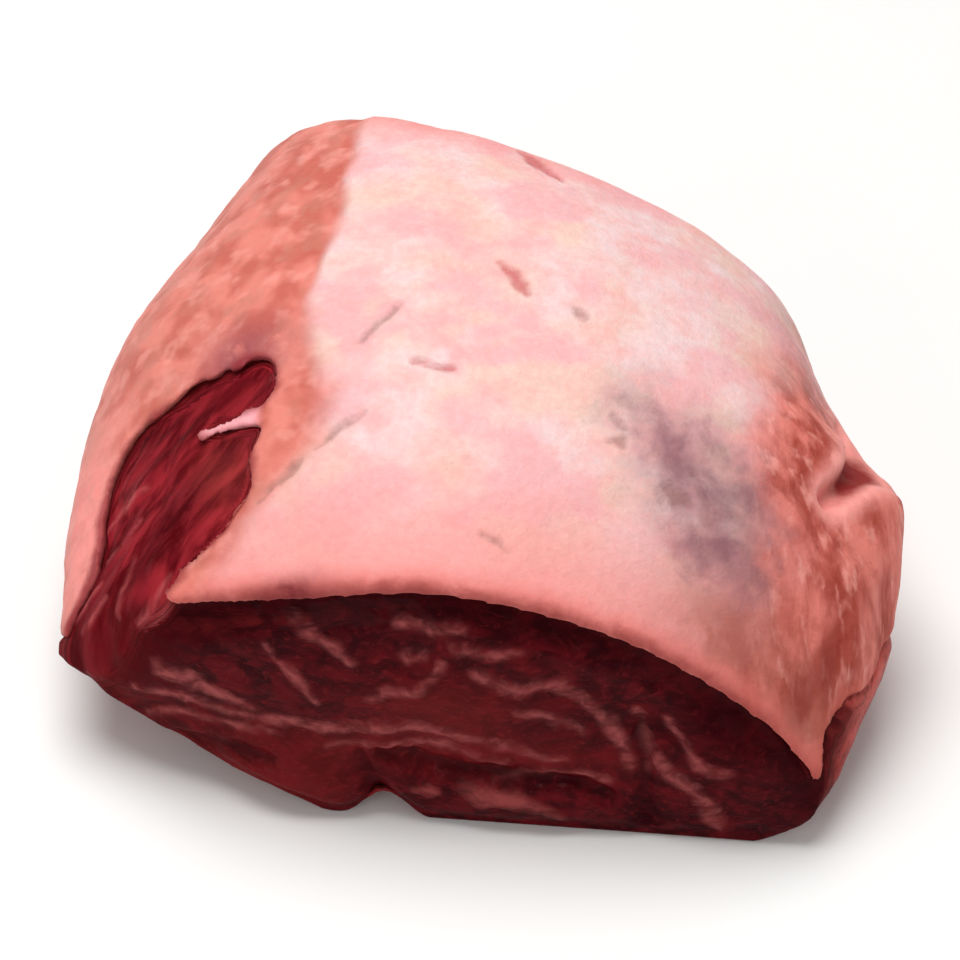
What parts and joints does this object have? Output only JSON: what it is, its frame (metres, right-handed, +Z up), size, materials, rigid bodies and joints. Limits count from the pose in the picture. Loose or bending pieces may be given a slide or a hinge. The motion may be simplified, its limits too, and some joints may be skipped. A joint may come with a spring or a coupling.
{
  "type": "raw lamb sirloin roast",
  "caption": "Raw boneless lamb sirloin roast: dark red muscle with a flat underside and cut ends, under a pink fat cap with a bare gap at the front left.",
  "frame": {"origin": "on the ground under the middle of the roast", "axes": "+X across the roast to the right, +Y from the front cut to the back cut, +Z up"},
  "size_m": [0.1687, 0.1564, 0.0806],
  "materials": {
    "muscle": "moist raw muscle, dark red with pale seams",
    "fat": "moist raw fat, pale pink, uneven"
  },
  "bodies": {
    "root": {"lean": "muscle", "fat_cap": "fat"}
  },
  "joints": []
}
